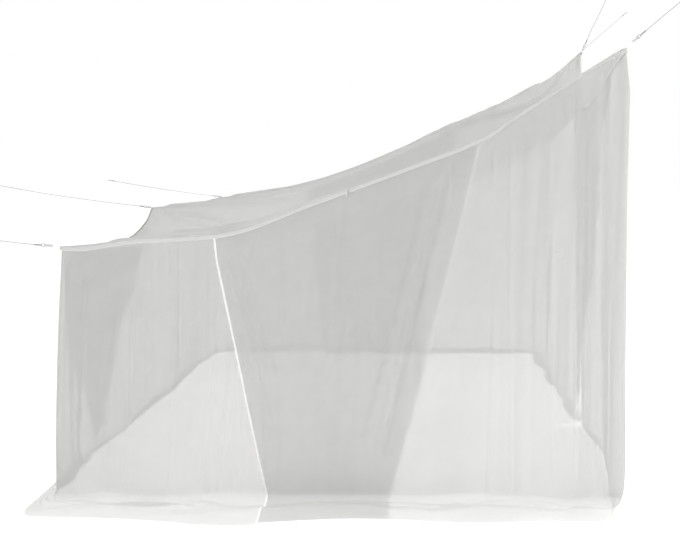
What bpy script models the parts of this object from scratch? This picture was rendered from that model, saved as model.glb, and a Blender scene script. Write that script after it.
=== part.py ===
"""Box mosquito net for a double bed: a sagging roof and four overlapping wall pieces of
sheer netting, taped along the top edge and hung from six cords, with the foot end high.

Metres, +Z up. The origin is on the floor at the middle of the net. +X runs along the
bed from the low head end to the high foot end, and -Y is the front.
"""
import math
from collections import namedtuple

import bmesh
import bpy
from mathutils import Matrix, Vector

# ---------------------------------------------------------------- driving dimensions
CLOTH = 0.0012          # thickness of each sheet of net
TAPE = 0.0010           # thickness of the woven tape
GAP = 0.0003            # clearance between pieces that touch
CORD_RADIUS = 0.00125
TAPE_WIDTH = 0.015      # the top tape stands upright along the edge
TAPE_RISE = 0.001       # and reaches this far over it
TAPE_CLEAR = 0.0014     # its distance from the walls' faces
LAYER = 0.0030          # outer wall piece stands this far outside the inner one
LAYER_LOOSE = 0.0200    # the same distance lower down, where the pieces hang loose
LAYER_FLOOR = 0.0060    # and where they lie on the floor
CORNER_RADIUS = 0.060   # run of cloth that turns each corner, either side of it
OUTWARD_STEP = 0.004    # step along an edge over which its direction is taken
ROOF_INSET = 0.0030     # the roof's rim lies just inside the walls
SEAM_DROP = 0.0015      # the walls start this far under the top edge
SEAM_DEPTH = 0.019      # the walls lie flat behind the tape down to here
FOOT_HEIGHT = 0.030     # where a wall starts to turn onto the floor
BEND_HEIGHT = 0.008     # and where it has nearly reached it
BEND_SHARE = 0.12       # how far out to the hem that is
CREASE_SHARE = 0.60     # and how far out the crease lies
COLUMN_CLEAR = 0.018    # least distance between two columns of a wall's mesh
EDGE_CLEAR = 0.06       # its upright columns start this far from a slanted edge

# The top edge runs anticlockwise from the front corner of the head end. "along" is the
# distance round the net's flat outline of 2.2 m by 2.0 m.
PERIMETER = 8.40
CORNERS = (0.0, 2.20, 4.20, 6.40)
MID_POINTS = (3.20, 7.40)
BREAKS = CORNERS + MID_POINTS + (PERIMETER,)

Place = namedtuple("Place", "along x y z")
TOP_EDGE = (
    Place(0.00, -1.107, -1.007, 0.987),
    Place(0.09, -1.014, -0.988, 0.980),
    Place(0.27, -0.828, -0.975, 1.005),
    Place(0.59, -0.512, -0.960, 1.024),
    Place(0.74, -0.357, -0.955, 1.059),
    Place(0.94, -0.164, -0.950, 1.136),
    Place(1.32, 0.222, -0.955, 1.279),
    Place(1.64, 0.542, -0.965, 1.404),
    Place(1.79, 0.685, -0.970, 1.499),
    Place(1.97, 0.870, -0.985, 1.618),
    Place(2.20, 1.110, -1.010, 1.768),
    Place(2.35, 1.088, -0.850, 1.705),
    Place(2.50, 1.065, -0.700, 1.612),
    Place(2.70, 1.053, -0.500, 1.565),
    Place(3.00, 1.090, -0.200, 1.620),
    Place(3.08, 1.114, -0.120, 1.712),
    Place(3.20, 1.150, 0.000, 1.905),
    Place(3.70, 1.160, 0.500, 1.893),
    Place(4.20, 1.167, 1.007, 1.888),
    Place(4.48, 0.823, 0.975, 1.711),
    Place(4.79, 0.515, 0.960, 1.574),
    Place(5.16, 0.138, 0.950, 1.403),
    Place(5.47, -0.170, 0.950, 1.279),
    Place(5.85, -0.547, 0.960, 1.170),
    Place(6.19, -0.889, 0.980, 1.105),
    Place(6.40, -1.077, 1.007, 1.079),
    Place(6.90, -1.098, 0.500, 1.066),
    Place(7.40, -1.142, 0.000, 1.072),
    Place(7.55, -1.112, -0.150, 1.010),
    Place(7.80, -1.086, -0.400, 0.955),
    Place(8.10, -1.080, -0.700, 0.962),
    Place(8.30, -1.094, -0.900, 0.975),
    Place(8.40, -1.107, -1.007, 0.987),
)
# Where the walls meet the floor.
FOOT_LINE = (
    Place(0.00, -1.130, -1.000, 0.0),
    Place(1.10, -0.010, -0.985, 0.0),
    Place(2.20, 1.078, -1.000, 0.0),
    Place(3.20, 1.068, 0.000, 0.0),
    Place(4.20, 1.025, 1.000, 0.0),
    Place(5.30, -0.030, 0.985, 0.0),
    Place(6.40, -1.095, 1.000, 0.0),
    Place(7.40, -1.120, 0.000, 0.0),
    Place(8.40, -1.130, -1.000, 0.0),
)
# Where the spare cloth ends on the floor. z is the height of the crease before the hem.
HEM_LINE = (
    Place(0.00, -1.195, -1.125, 0.010),
    Place(0.35, -0.790, -1.150, 0.022),
    Place(0.70, -0.420, -1.195, 0.008),
    Place(1.15, 0.050, -1.165, 0.024),
    Place(1.60, 0.480, -1.190, 0.010),
    Place(2.00, 0.820, -1.180, 0.020),
    Place(2.20, 0.985, -1.195, 0.012),
    Place(2.60, 1.115, -0.600, 0.018),
    Place(3.20, 1.135, 0.000, 0.010),
    Place(3.80, 1.110, 0.620, 0.022),
    Place(4.20, 1.135, 1.130, 0.010),
    Place(4.90, 0.430, 1.170, 0.020),
    Place(5.30, -0.020, 1.190, 0.008),
    Place(5.90, -0.620, 1.165, 0.022),
    Place(6.40, -1.170, 1.140, 0.010),
    Place(7.00, -1.190, 0.420, 0.022),
    Place(7.60, -1.165, -0.220, 0.010),
    Place(8.10, -1.195, -0.740, 0.020),
    Place(8.40, -1.195, -1.125, 0.010),
)
# Hanging folds: place at the top and at the foot, half width, depth outwards at each end.
Fold = namedtuple("Fold", "top foot width top_depth foot_depth")
FOLDS = (
    Fold(0.10, 0.20, 0.10, 0.012, -0.018),
    Fold(0.34, 0.42, 0.16, -0.006, 0.016),
    Fold(1.72, 1.60, 0.18, -0.004, -0.020),
    Fold(2.04, 1.98, 0.12, 0.010, 0.022),
    Fold(2.33, 2.36, 0.13, -0.010, -0.022),
    Fold(2.66, 2.64, 0.19, 0.014, 0.018),
    Fold(3.12, 3.14, 0.12, -0.020, -0.022),
    Fold(3.32, 3.44, 0.09, 0.022, 0.026),
    Fold(3.52, 3.62, 0.09, -0.022, -0.026),
    Fold(3.72, 3.80, 0.09, 0.024, 0.026),
    Fold(3.92, 3.96, 0.09, -0.020, -0.024),
    Fold(4.40, 4.44, 0.14, -0.012, -0.018),
    Fold(6.16, 6.12, 0.14, -0.010, -0.018),
    Fold(6.66, 6.70, 0.16, 0.012, 0.020),
    Fold(7.20, 7.16, 0.18, -0.010, -0.020),
    Fold(7.66, 7.92, 0.14, 0.010, 0.018),
    Fold(8.26, 8.10, 0.09, 0.022, 0.020),
    Fold(8.34, 8.26, 0.07, -0.020, -0.022),
)
# The four wall pieces: where each starts and ends, at the top and at the foot, and
# whether it hangs outside the pieces that it overlaps.
Wall = namedtuple("Wall", "name start_top start_foot end_top end_foot outer")
WALLS = (
    Wall("wall_front_head", -0.86, -0.35, 1.642, 1.300, False),
    Wall("wall_front_foot", 0.588, 0.820, 3.10, 2.930, True),
    Wall("wall_rear_foot", 2.33, 2.990, 5.81, 5.670, False),
    Wall("wall_rear_head", 4.76, 5.030, 8.33, 7.980, True),
)
FOLDS_OPEN = 0.30       # share of the height over which the folds open under the tape
LAYERS_OPEN = 0.08      # and the overlapping pieces part
# Fractions of a wall's height with a row of the mesh, under the tape.
DROPS = (0.10, 0.32, 0.64, 1.0)
# Denser columns of the mesh: first place, last place, spacing.
Run = namedtuple("Run", "first last step")
COLUMN_RUNS = (
    Run(0.00, 0.45, 0.075),
    Run(0.45, 2.20, 0.170),
    Run(2.20, 2.50, 0.060),
    Run(2.50, 2.98, 0.120),
    Run(2.98, 3.20, 0.044),
    Run(3.20, 4.20, 0.070),
    Run(4.20, 6.40, 0.200),
    Run(6.40, 7.40, 0.125),
    Run(7.40, 8.00, 0.120),
    Run(8.00, 8.40, 0.045),
)
SLANTED_SPACING = 0.050  # and of the columns beside a slanted edge
# Hollows of the roof between what holds it: place, reach and depth, in shares of its
# length and width.
Hollow = namedtuple("Hollow", "length width reach_length reach_width depth")
HOLLOWS = (
    Hollow(0.50, 0.50, 0.55, 0.50, 0.055),
    Hollow(0.84, 0.26, 0.26, 0.26, 0.060),
    Hollow(0.82, 0.74, 0.28, 0.26, 0.040),
    Hollow(0.16, 0.72, 0.26, 0.28, 0.020),
    Hollow(0.92, 0.50, 0.20, 0.40, 0.120),
)
ROOF_COLUMNS = 16
ROOF_ROWS = 12
ROOF_RIM = 0.08         # share of the roof over which its hollows fade out at the rim

# Cords: the route's own points, from the hanging point to the loop at the far end.
CORD_ROUTES = {
    "front_head": ((-1.112, -1.012, 0.989), (-1.190, -1.028, 0.998),
                   (-1.280, -1.045, 1.011), (-1.372, -1.060, 1.027)),
    "mid_head": ((-1.150, 0.000, 1.073), (-1.420, 0.000, 1.105),
                 (-1.730, 0.000, 1.149), (-2.048, 0.000, 1.206)),
    "rear_head": ((-1.083, 1.014, 1.081), (-1.340, 1.042, 1.110),
                  (-1.620, 1.071, 1.149), (-1.906, 1.100, 1.195)),
    "front_foot": ((1.114, -1.016, 1.771), (1.178, -1.028, 1.826),
                   (1.246, -1.039, 1.884), (1.322, -1.050, 1.947)),
    "mid_foot": ((1.157, 0.000, 1.911), (1.204, 0.000, 2.021),
                 (1.258, 0.000, 2.132), (1.306, 0.000, 2.240)),
    "rear_foot": ((1.171, 1.012, 1.892), (1.340, 1.034, 2.040),
                  (1.520, 1.057, 2.197), (1.715, 1.080, 2.365)),
}
CORD_POINTS = 14
ROUTE_SAMPLES = 120
# Distances along each cord, from the hanging point.
LOOP_LENGTH = 0.030     # the sewn tape loop
LOOP_THICKNESS = 0.009
EYE_START = 0.022       # the cord's eye passes through the tape loop
EYE_LENGTH = 0.020
EYE_WIDTH = 0.016
KNOT_LENGTH = 0.030
KNOT_RADIUS = 0.0034
KNOT_BITE = 0.004       # how far a loop's cord runs into its knot
END_LOOP_LENGTH = 0.036
END_LOOP_WIDTH = 0.018
END_KNOT_LENGTH = 0.016
LOOP_WIDTH = 0.008      # width of the tape that the sewn loops are made of

SPARE_LOOP_PLACE = 1.115    # unused loop at the middle of the front edge
SPARE_LOOP_RISE = 0.004     # it starts a little over the edge, clear of the tape
SPARE_LOOP_CLEAR = 0.0015
INNER_LOOP_DROP = 0.048     # the two inner loops hang inside the mid points
INNER_LOOP_INSET = 0.024
INNER_LOOP_LENGTH = 0.040

RING_SIDES = 5
RING_STEPS = 8
LOOP_STEPS = 8

MATERIALS = {
    "net": ((0.86, 0.86, 0.85), 0.90),
    "tape": ((0.88, 0.88, 0.87), 0.80),
    "cord": ((0.62, 0.61, 0.60), 0.75),
}


# ---------------------------------------------------------------- scene and materials
def clear_scene():
    for thing in list(bpy.data.objects):
        bpy.data.objects.remove(thing, do_unlink=True)


def make_material(name):
    colour, roughness = MATERIALS[name]
    material = bpy.data.materials.new(name)
    material.use_nodes = True
    shader = material.node_tree.nodes["Principled BSDF"]
    shader.inputs["Base Color"].default_value = (*colour, 1.0)
    shader.inputs["Roughness"].default_value = roughness
    shader.inputs["Metallic"].default_value = 0.0
    return material


def new_collection(name):
    collection = bpy.data.collections.new(name)
    bpy.context.scene.collection.children.link(collection)
    return collection


def add_object(name, data, material, collection):
    thing = bpy.data.objects.new(name, data)
    data.materials.append(material)
    collection.objects.link(thing)
    return thing


def thicken(thing, thickness):
    """Give an open sheet its thickness, half to each side."""
    solid = thing.modifiers.new("thickness", "SOLIDIFY")
    solid.thickness = thickness
    solid.offset = 0.0
    solid.use_rim = True


# ---------------------------------------------------------------- lines round the net
def slope(rows, index):
    """How the line runs on at a row: one-sided where the cloth is held and kinks."""
    here = rows[index]
    last = rows[index - 1] if index > 0 and here.along not in BREAKS else here
    following = rows[index + 1] if index + 1 < len(rows) else here
    run = following.along - last.along
    return (Vector(following[1:]) - Vector(last[1:])) / run


def slope_before(rows, index):
    """The same, for the stretch that ends at the row."""
    here = rows[index]
    if here.along not in BREAKS:
        return slope(rows, index)
    last = rows[index - 1]
    return (Vector(here[1:]) - Vector(last[1:])) / (here.along - last.along)


def smooth_line(rows, along):
    """A point of a line given by rows, as a smooth curve between the held points."""
    along = along % PERIMETER
    index = max(i for i, row in enumerate(rows[:-1]) if row.along <= along)
    first = rows[index]
    second = rows[index + 1]
    run = second.along - first.along
    t = (along - first.along) / run
    rise = t * t * (3.0 - 2.0 * t)
    leave = t * (1.0 - t) ** 2 * run
    arrive = t * t * (t - 1.0) * run
    point = Vector(first[1:]) * (1.0 - rise) + Vector(second[1:]) * rise
    return point + slope(rows, index) * leave + slope_before(rows, index + 1) * arrive


def signed_distance(along, place):
    """Distance from a place to along, the short way round the net."""
    return (along - place + PERIMETER / 2.0) % PERIMETER - PERIMETER / 2.0


def round_line(rows, along):
    """The same line with its corners rounded."""
    for corner in CORNERS:
        distance = signed_distance(along, corner)
        if abs(distance) < CORNER_RADIUS:
            t = (distance + CORNER_RADIUS) / (2.0 * CORNER_RADIUS)
            before = smooth_line(rows, corner - CORNER_RADIUS)
            after = smooth_line(rows, corner + CORNER_RADIUS)
            peak = smooth_line(rows, corner)
            return before * (1 - t) ** 2 + peak * 2 * t * (1 - t) + after * t * t
    return smooth_line(rows, along)


def outward(along):
    """Level direction away from the net's inside."""
    before = round_line(FOOT_LINE, along - OUTWARD_STEP)
    run = round_line(FOOT_LINE, along + OUTWARD_STEP) - before
    return Vector((run.y, -run.x, 0.0)).normalized()


def bump(distance, reach):
    """One at its middle, zero at its reach, with no corner at either."""
    if abs(distance) >= reach:
        return 0.0
    return 0.5 + 0.5 * math.cos(math.pi * distance / reach)


# ---------------------------------------------------------------- walls
def seam_drop(along):
    """Share of the wall's height that lies flat behind the tape."""
    return SEAM_DEPTH / round_line(TOP_EDGE, along).z


def fold_depth(along, drop):
    depth = 0.0
    for fold in FOLDS:
        place = fold.top + (fold.foot - fold.top) * drop
        height = fold.top_depth + (fold.foot_depth - fold.top_depth) * drop
        depth += height * bump(signed_distance(along, place), fold.width)
    return depth * loosened(along, drop, FOLDS_OPEN)


def loosened(along, drop, reach):
    """Zero where the cloth is held flat by the tape, one where it hangs free."""
    return min(1.0, max(0.0, (drop - seam_drop(along)) / reach))


def layer_offset(along, drop):
    """How far an outer wall piece stands off the inner one."""
    return LAYER + (LAYER_LOOSE - LAYER) * loosened(along, drop, LAYERS_OPEN)


def hanging_point(along, drop, outer):
    """A point of a wall. drop is 0 under the top tape and 1 at the turn to the floor."""
    top = round_line(TOP_EDGE, along)
    foot = round_line(FOOT_LINE, along)
    free = max(0.0, drop - seam_drop(along)) / (1.0 - seam_drop(along))
    point = top.lerp(foot, 1.0 - (1.0 - free) ** 2)
    point.z = (top.z - SEAM_DROP) * (1.0 - drop) + FOOT_HEIGHT * drop
    depth = fold_depth(along, drop)
    if outer:
        depth += layer_offset(along, drop)
    return point + outward(along) * depth


def floor_points(along, outer):
    """The last points of a column: the turn, the crease and the hem on the floor."""
    rest = CLOTH / 2.0
    if outer:
        rest += LAYER_FLOOR
    turn = hanging_point(along, 1.0, outer)
    hem = round_line(HEM_LINE, along)
    crease_height = hem.z
    lying = Vector((hem.x, hem.y, rest))
    bend = turn.lerp(lying, BEND_SHARE)
    bend.z = rest + BEND_HEIGHT
    crease = turn.lerp(lying, CREASE_SHARE)
    crease.z = rest + crease_height
    return [bend, crease, lying]


def columns_between(first, last):
    """Places of the shared mesh columns between two places."""
    places = set()
    for turn in (-PERIMETER, 0.0):
        for run in COLUMN_RUNS:
            count = round((run.last - run.first) / run.step)
            for index in range(count):
                places.add(run.first + (run.last - run.first) * index / count + turn)
        for corner in CORNERS:
            for share in (-1.0, -0.5, 0.5, 1.0):
                places.add(corner + CORNER_RADIUS * share + turn)
    kept = [place for place in sorted(places) if first < place < last]
    spaced = []
    for place in kept:
        if not spaced or place - spaced[-1] > COLUMN_CLEAR:
            spaced.append(place)
    return spaced


def wall_columns(wall):
    """Columns as (top place, foot place): upright in the middle, slanted at the edges."""
    first = max(wall.start_top, wall.start_foot) + EDGE_CLEAR
    last = min(wall.end_top, wall.end_foot) - EDGE_CLEAR
    middle = [(place, place) for place in columns_between(first, last)]
    left = slanted(wall.start_top, wall.start_foot, middle[0][0])
    right = slanted(wall.end_top, wall.end_foot, middle[-1][0])
    return left + middle + right[::-1]


def slanted(top, foot, settled):
    """Columns from a slanted free edge to the first upright one."""
    widest = max(abs(settled - top), abs(settled - foot))
    count = max(2, round(widest / SLANTED_SPACING))
    shares = [index / count for index in range(count)]
    return [(top + (settled - top) * s, foot + (settled - foot) * s) for s in shares]


def make_wall(wall, material, collection):
    columns = wall_columns(wall)
    lines = []
    for top, foot in columns:
        drops = (0.0, seam_drop(top)) + DROPS
        line = [hanging_point(top + (foot - top) * d, d, wall.outer) for d in drops]
        lines.append(line + floor_points(foot, wall.outer))
    thing = make_sheet(wall.name, lines, material, collection)
    thicken(thing, CLOTH)
    return thing


def make_sheet(name, lines, material, collection):
    """A grid whose columns of points are given from left to right."""
    width = len(lines)
    height = len(lines[0])
    mesh = bpy.data.meshes.new(name)
    grid = bmesh.new()
    bmesh.ops.create_grid(grid, x_segments=width - 1, y_segments=height - 1, size=1.0)
    for vertex in grid.verts:
        column = round((vertex.co.x + 1.0) / 2.0 * (width - 1))
        row = round((vertex.co.y + 1.0) / 2.0 * (height - 1))
        vertex.co = lines[column][row]
    grid.to_mesh(mesh)
    grid.free()
    mesh.shade_smooth()
    return add_object(name, mesh, material, collection)


# ---------------------------------------------------------------- roof
def rim_point(along):
    return round_line(TOP_EDGE, along) - outward(along) * ROOF_INSET


def roof_point(u, v):
    """A surface hung between the four edges, u along the net and v across it."""
    front = rim_point(2.20 * u)
    rear = rim_point(6.40 - 2.20 * u)
    head = rim_point(8.40 - 2.00 * v)
    foot = rim_point(2.20 + 2.00 * v)
    near = rim_point(0.0).lerp(rim_point(2.20), u)
    far = rim_point(6.40).lerp(rim_point(4.20), u)
    point = front.lerp(rear, v) + head.lerp(foot, u) - near.lerp(far, v)
    rim = min(1.0, u / ROOF_RIM, (1 - u) / ROOF_RIM, v / ROOF_RIM, (1 - v) / ROOF_RIM)
    for hollow in HOLLOWS:
        along = bump(u - hollow.length, hollow.reach_length)
        across = bump(v - hollow.width, hollow.reach_width)
        point.z -= hollow.depth * along * across * rim
    return point


def make_roof(material, collection):
    lines = []
    for column in range(ROOF_COLUMNS + 1):
        u = column / ROOF_COLUMNS
        lines.append([roof_point(u, row / ROOF_ROWS) for row in range(ROOF_ROWS + 1)])
    thing = make_sheet("roof", lines, material, collection)
    thicken(thing, CLOTH)
    return thing


# ---------------------------------------------------------------- top tape
def tape_offset():
    return LAYER + CLOTH / 2.0 + TAPE_CLEAR + TAPE / 2.0


def make_top_tape(material, collection):
    """One length of tape round the outside of the top edge, its ends joined."""
    places = columns_between(-0.005, PERIMETER - 0.01)
    mesh = bpy.data.meshes.new("top_tape")
    strip = bmesh.new()
    lower = []
    upper = []
    for place in places:
        edge = round_line(TOP_EDGE, place) + outward(place) * tape_offset()
        lower.append(strip.verts.new(edge - Vector((0.0, 0.0, TAPE_WIDTH - TAPE_RISE))))
        upper.append(strip.verts.new(edge + Vector((0.0, 0.0, TAPE_RISE))))
    for index in range(len(places)):
        after = (index + 1) % len(places)
        strip.faces.new((lower[index], lower[after], upper[after], upper[index]))
    strip.to_mesh(mesh)
    strip.free()
    thing = add_object("top_tape", mesh, material, collection)
    thicken(thing, TAPE)
    return thing


# ---------------------------------------------------------------- loops, cords and knots
def facing(location, direction, side):
    """Matrix with +X along direction and +Z as near side as can be."""
    forward = Vector(direction).normalized()
    across = Vector(side).cross(forward).normalized()
    up = forward.cross(across)
    matrix = Matrix((forward, across, up)).transposed().to_4x4()
    matrix.translation = location
    return matrix


def stadium(length, width, steps):
    """Outline of a loop from x = 0 to x = length, round at both ends."""
    outline = []
    for index in range(steps):
        angle = 2.0 * math.pi * (index + 0.5) / steps
        x = length / 2.0 + (length - width) / 2.0 * math.copysign(1.0, math.cos(angle))
        x += width / 2.0 * math.cos(angle)
        outline.append(Vector((x, width / 2.0 * math.sin(angle), 0.0)))
    return outline


def make_tape_loop(name, matrix, length, material, collection):
    """A sewn loop: a strip of tape turned back on itself."""
    mesh = bpy.data.meshes.new(name)
    strip = bmesh.new()
    inner = LOOP_THICKNESS - TAPE
    half = Vector((0.0, 0.0, LOOP_WIDTH / 2.0))
    outline = stadium(length - TAPE, inner, LOOP_STEPS)
    shift = Vector((TAPE / 2.0, 0.0, 0.0))
    lower = [strip.verts.new(point + shift - half) for point in outline]
    upper = [strip.verts.new(point + shift + half) for point in outline]
    for index in range(LOOP_STEPS):
        after = (index + 1) % LOOP_STEPS
        strip.faces.new((lower[index], lower[after], upper[after], upper[index]))
    strip.to_mesh(mesh)
    strip.free()
    thing = add_object(name, mesh, material, collection)
    thing.matrix_world = matrix
    thicken(thing, TAPE)
    return thing


def ring_mesh(length, width, radius):
    """A closed ring of cord, long and narrow, from x = 0 to x = length."""
    centre = stadium(length - 2 * radius, width - 2 * radius, RING_STEPS)
    ring = bmesh.new()
    rows = []
    for index, point in enumerate(centre):
        before = centre[index - 1]
        after = centre[(index + 1) % RING_STEPS]
        along = (after - before).normalized()
        side = Vector((along.y, -along.x, 0.0))
        row = []
        for turn in range(RING_SIDES):
            angle = 2.0 * math.pi * turn / RING_SIDES
            push = side * math.cos(angle) + Vector((0.0, 0.0, math.sin(angle)))
            spot = point + push * radius + Vector((radius, 0.0, 0.0))
            row.append(ring.verts.new(spot))
        rows.append(row)
    for index, row in enumerate(rows):
        after = rows[(index + 1) % RING_STEPS]
        for turn in range(RING_SIDES):
            next_turn = (turn + 1) % RING_SIDES
            corners = (row[turn], after[turn], after[next_turn], row[next_turn])
            ring.faces.new(corners)
    bmesh.ops.recalc_face_normals(ring, faces=ring.faces)
    return ring


def add_knot(body, start, length):
    """A knot as a short fat spindle from x = start, closed at both ends."""
    middle = Matrix.Translation((start + length / 2.0, 0.0, 0.0))
    turn = Matrix.Rotation(math.pi / 2.0, 4, "Y")
    size = Matrix.Diagonal((KNOT_RADIUS, KNOT_RADIUS, length / 2.0, 1.0))
    bmesh.ops.create_uvsphere(
        body, u_segments=6, v_segments=4, radius=1.0, matrix=middle @ turn @ size
    )


def mesh_object(name, body, material, collection):
    mesh = bpy.data.meshes.new(name)
    body.to_mesh(mesh)
    body.free()
    return add_object(name, mesh, material, collection)


def make_tie(name, matrix, loop_length, loop_width, knot_start, knot_length,
             material, collection, cutters):
    """A loop of cord closed by its knot, joined into one solid."""
    ring = ring_mesh(loop_length, loop_width, CORD_RADIUS)
    thing = mesh_object(name, ring, material, collection)
    thing.matrix_world = matrix
    knot = bmesh.new()
    add_knot(knot, knot_start, knot_length)
    guide = mesh_object(name + "_knot", knot, material, cutters)
    guide.matrix_world = matrix
    guide.hide_render = True
    guide.display_type = "WIRE"
    join = thing.modifiers.new("knot", "BOOLEAN")
    join.operation = "UNION"
    join.solver = "EXACT"
    join.object = guide
    return thing


def route_point(route, share):
    """A point of the smooth curve through the route's own points, by share of it."""
    points = [Vector(point) for point in route]
    spans = len(points) - 1
    index = min(int(share * spans), spans - 1)
    t = share * spans - index
    a = points[index]
    b = points[index + 1]
    before = points[index - 1] if index > 0 else a * 2.0 - b
    after = points[index + 2] if index + 2 <= spans else b * 2.0 - a
    start = (b - before) / 2.0
    end = (after - a) / 2.0
    rise = t * t * (3.0 - 2.0 * t)
    bend = start * (t * (1.0 - t) ** 2) + end * (t * t * (t - 1.0))
    return a * (1.0 - rise) + b * rise + bend


def route_samples(route):
    """Fine points of the route, each with its distance from the start."""
    point = route_point(route, 0.0)
    distance = 0.0
    samples = [(distance, point)]
    for index in range(1, ROUTE_SAMPLES + 1):
        after = route_point(route, index / ROUTE_SAMPLES)
        distance += (after - point).length
        point = after
        samples.append((distance, point))
    return samples


def point_along(samples, distance):
    """The route's point at a distance from its start."""
    for (near, a), (far, b) in zip(samples, samples[1:]):
        if distance <= far:
            return a.lerp(b, (distance - near) / (far - near))
    return samples[-1][1]


def make_cord(name, route, first, last, material, collection):
    """The free cord between its knots. first and last are distances along the route."""
    samples = route_samples(route)
    curve = bpy.data.curves.new(name, "CURVE")
    curve.dimensions = "3D"
    spline = curve.splines.new("POLY")
    spline.points.add(CORD_POINTS - 1)
    for index, point in enumerate(spline.points):
        distance = first + (last - first) * index / (CORD_POINTS - 1)
        point.co = (*point_along(samples, distance), 1.0)
    curve.bevel_depth = CORD_RADIUS
    curve.bevel_resolution = 2
    curve.use_fill_caps = True
    return add_object(name, curve, material, collection)


def make_hanging(name, route, tape, cord, collection, cutters):
    """Everything at one hanging point: sewn loop, tied eye, cord and far loop."""
    samples = route_samples(route)
    start = samples[0][1]
    tied = EYE_START + EYE_LENGTH - KNOT_BITE + KNOT_LENGTH
    pull = point_along(samples, tied) - start
    side = Vector((-pull.y, pull.x, 0.0))
    flat = facing(start, pull, (0.0, 0.0, 1.0))
    upright = facing(start + pull.normalized() * EYE_START, pull, side)
    make_tape_loop(name + "_loop", flat, LOOP_LENGTH, tape, collection)
    make_tie(name + "_eye", upright, EYE_LENGTH, EYE_WIDTH, EYE_LENGTH - KNOT_BITE,
             KNOT_LENGTH, cord, collection, cutters)
    whole, end = samples[-1]
    released = END_LOOP_LENGTH - KNOT_BITE + END_KNOT_LENGTH
    make_cord(name + "_cord", route, tied + 2 * GAP, whole - released - 2 * GAP, cord,
              collection)
    back = point_along(samples, whole - released) - end
    far = facing(end, back, (0.0, 0.0, 1.0))
    make_tie(name + "_end_loop", far, END_LOOP_LENGTH, END_LOOP_WIDTH,
             END_LOOP_LENGTH - KNOT_BITE, END_KNOT_LENGTH, cord, collection, cutters)


def make_spare_loop(tape, collection):
    """The unused loop at the middle of the front edge, lying down over the tape."""
    out = outward(SPARE_LOOP_PLACE)
    edge = round_line(TOP_EDGE, SPARE_LOOP_PLACE) + Vector((0.0, 0.0, SPARE_LOOP_RISE))
    reach = tape_offset() + TAPE / 2.0 + SPARE_LOOP_CLEAR
    location = edge + out * (reach + LOOP_THICKNESS / 2.0)
    matrix = facing(location, (0.0, 0.0, -1.0), out.cross(Vector((0.0, 0.0, 1.0))))
    make_tape_loop("spare_loop", matrix, LOOP_LENGTH, tape, collection)


def make_inner_loop(name, along, tape, collection):
    """A loop hanging inside the net under a mid hanging point."""
    edge = round_line(TOP_EDGE, along)
    location = edge - outward(along) * INNER_LOOP_INSET
    location.z -= INNER_LOOP_DROP
    matrix = facing(location, (0.0, 0.0, -1.0), outward(along))
    make_tape_loop(name, matrix, INNER_LOOP_LENGTH, tape, collection)


# ---------------------------------------------------------------- the whole net
def build():
    clear_scene()
    canopy = new_collection("mosquito_net_canopy")
    cutters = new_collection("cutters")
    net = make_material("net")
    tape = make_material("tape")
    cord = make_material("cord")
    make_roof(net, canopy)
    for wall in WALLS:
        make_wall(wall, net, canopy)
    make_top_tape(tape, canopy)
    for name, route in CORD_ROUTES.items():
        make_hanging(name, route, tape, cord, canopy, cutters)
    make_spare_loop(tape, canopy)
    make_inner_loop("inner_loop_foot", MID_POINTS[0], tape, canopy)
    make_inner_loop("inner_loop_head", MID_POINTS[1], tape, canopy)
    bpy.context.view_layer.update()


build()
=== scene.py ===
"""Looks of the box mosquito net: sheer sheets with their folds, hems and pooled cloth,
woven tapes, and twisted cords with their knots, in the part's own frame.

Metres, +Z up. +X runs from the low head end to the high foot end, -Y is the front.
"""

import math
from collections import namedtuple

import bpy
import numpy as np
from mathutils import Matrix, Vector


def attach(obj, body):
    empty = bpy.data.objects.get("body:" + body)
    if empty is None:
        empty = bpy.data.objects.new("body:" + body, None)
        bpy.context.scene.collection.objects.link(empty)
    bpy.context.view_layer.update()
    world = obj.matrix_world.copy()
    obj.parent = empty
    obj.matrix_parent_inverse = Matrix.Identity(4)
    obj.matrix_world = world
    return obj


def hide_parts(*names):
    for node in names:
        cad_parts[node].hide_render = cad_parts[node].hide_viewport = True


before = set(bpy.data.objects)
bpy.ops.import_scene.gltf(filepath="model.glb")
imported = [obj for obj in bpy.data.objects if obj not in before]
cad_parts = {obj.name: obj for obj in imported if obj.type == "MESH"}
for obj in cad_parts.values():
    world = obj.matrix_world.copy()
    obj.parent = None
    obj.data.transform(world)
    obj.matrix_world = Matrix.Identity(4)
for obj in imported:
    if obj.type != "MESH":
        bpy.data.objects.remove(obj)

BODY = "root"


def table(kind, *rows):
    """Rows of plain numbers as named tuples of one kind."""
    return tuple(kind(*row) for row in rows)


# ---- the net's own sizes
CLOTH = 0.0012          # room that a sheet takes on the floor
TAPE = 0.0010
CORD_RADIUS = 0.00125
TAPE_WIDTH = 0.015
TAPE_RISE = 0.001
TAPE_CLEAR = 0.0014
LAYER = 0.0030          # outer wall piece stands this far outside the inner one
LAYER_LOOSE = 0.0200    # the same distance lower down, where the pieces hang loose
LAYER_FLOOR = 0.0060    # and where they lie on the floor
CORNER_RADIUS = 0.060
ROOF_INSET = 0.0030
SEAM_DROP = 0.0015
SEAM_DEPTH = 0.019
FOOT_HEIGHT = 0.030
PERIMETER = 8.40
CORNERS = (0.0, 2.20, 4.20, 6.40)
MID_POINTS = (3.20, 7.40)
BREAKS = CORNERS + MID_POINTS + (PERIMETER,)
FOLDS_OPEN = 0.30
LAYERS_OPEN = 0.08
ROOF_LENGTH = 2.20      # the roof's rectangle, seen from above
ROOF_WIDTH = 2.00
LINE_STEPS = 3360       # steps round the net in each line's table
OUT_STEP = 0.004

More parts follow.
